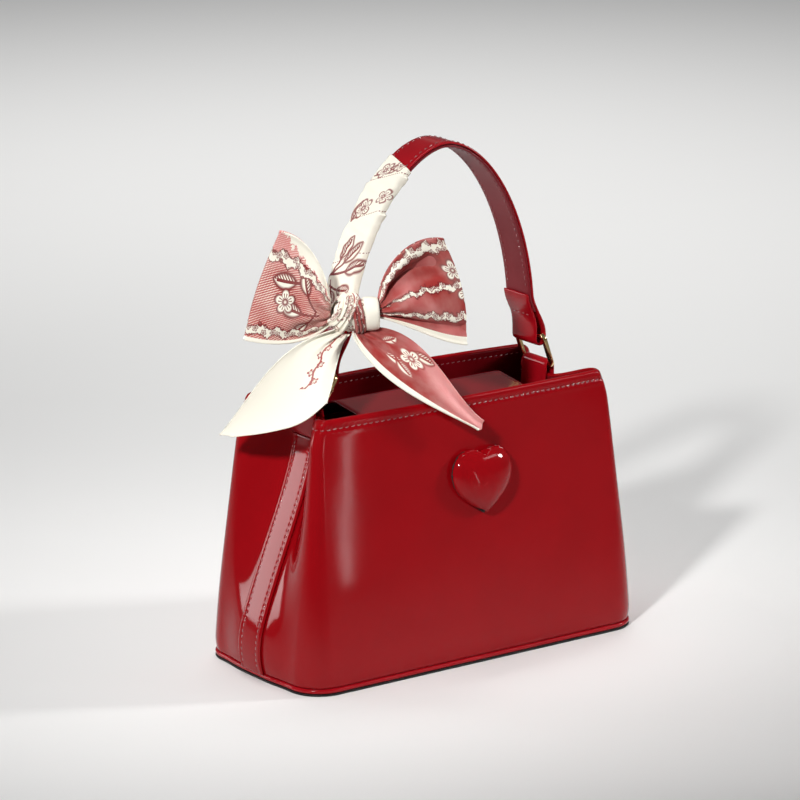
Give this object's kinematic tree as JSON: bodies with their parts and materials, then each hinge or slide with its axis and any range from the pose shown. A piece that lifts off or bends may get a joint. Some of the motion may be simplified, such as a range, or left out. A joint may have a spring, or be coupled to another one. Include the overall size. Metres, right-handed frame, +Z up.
{
  "type": "handbag",
  "caption": "Small structured top-handle handbag with a folded side, a hinged inner flap, leather handle on metal rings, a puffed heart and a scarf tied round the handle.",
  "frame": {"origin": "centre of the base, on the surface that the bag stands on", "axes": "+X to the bag's right as seen from the front, +Y from the front to the back, +Z up"},
  "size_m": [0.2533, 0.1179, 0.301],
  "materials": {
    "red_leather": "smooth, polished to a high gloss",
    "black_leather": "matt",
    "lining": "plain woven, black",
    "board": "pressed fibre board, hidden",
    "wadding": "pressed wadding, hidden",
    "steel": "plain, hidden",
    "gold_metal": "polished light gold",
    "scarf_cream": "satin, cream ground with a sparse print",
    "scarf_rose": "satin, rose and burgundy ground with cream print"
  },
  "bodies": {
    "bag": {"base_panel": "black_leather", "base_piping": "red_leather", "base_board": "board", "front_panel": "red_leather", "back_panel": "red_leather", "front_board": "board", "back_board": "board", "front_facing": "red_leather", "back_facing": "red_leather", "lining_front": "lining", "lining_back": "lining", "lining_base": "lining", "side_strip_left": "red_leather", "side_strip_right": "red_leather", "heart_cover": "red_leather", "heart_filling": "wadding", "heart_plate": "board", "heart_rivets": "steel", "magnet_front": "steel", "tab_left": "red_leather", "tab_right": "red_leather"},
    "flap": {"closure_flap": "red_leather", "flap_lining": "lining", "magnet_flap": "steel"},
    "ring_left": {"ring_left": "gold_metal"},
    "ring_right": {"ring_right": "gold_metal"},
    "handle": {"handle_outer_ply": "red_leather", "handle_inner_ply": "red_leather", "scarf_wrap": "scarf_cream", "scarf_knot": "scarf_cream", "scarf_loop_left": "scarf_rose", "scarf_loop_right": "scarf_rose", "scarf_tail_left": "scarf_cream", "scarf_tail_right": "scarf_rose"}
  },
  "joints": [
    {"name": "flap_hinge", "type": "hinge", "parent": "bag", "child": "flap", "pos_m": [0, 0.03866, 0.137], "axis": [-1, 0, 0], "range_deg": [0, 45]},
    {"name": "ring_left_swing", "type": "hinge", "parent": "bag", "child": "ring_left", "pos_m": [-0.0834, 0, 0.157], "axis": [0, 1, 0], "range_deg": [-18, 6]},
    {"name": "handle_swing", "type": "hinge", "parent": "ring_left", "child": "handle", "pos_m": [-0.07254, 0, 0.17439], "axis": [0, 1, 0], "range_deg": [-7, 21]},
    {"name": "ring_right_swing", "type": "hinge", "parent": "bag", "child": "ring_right", "pos_m": [0.0834, 0, 0.157], "axis": [0, 1, 0], "range_deg": [-19, 7]}
  ],
  "couplings": [
    {"joint": "handle_swing", "follows": "ring_left_swing", "ratio": -1.122},
    {"joint": "ring_right_swing", "follows": "ring_left_swing", "ratio": 1.017}
  ]
}
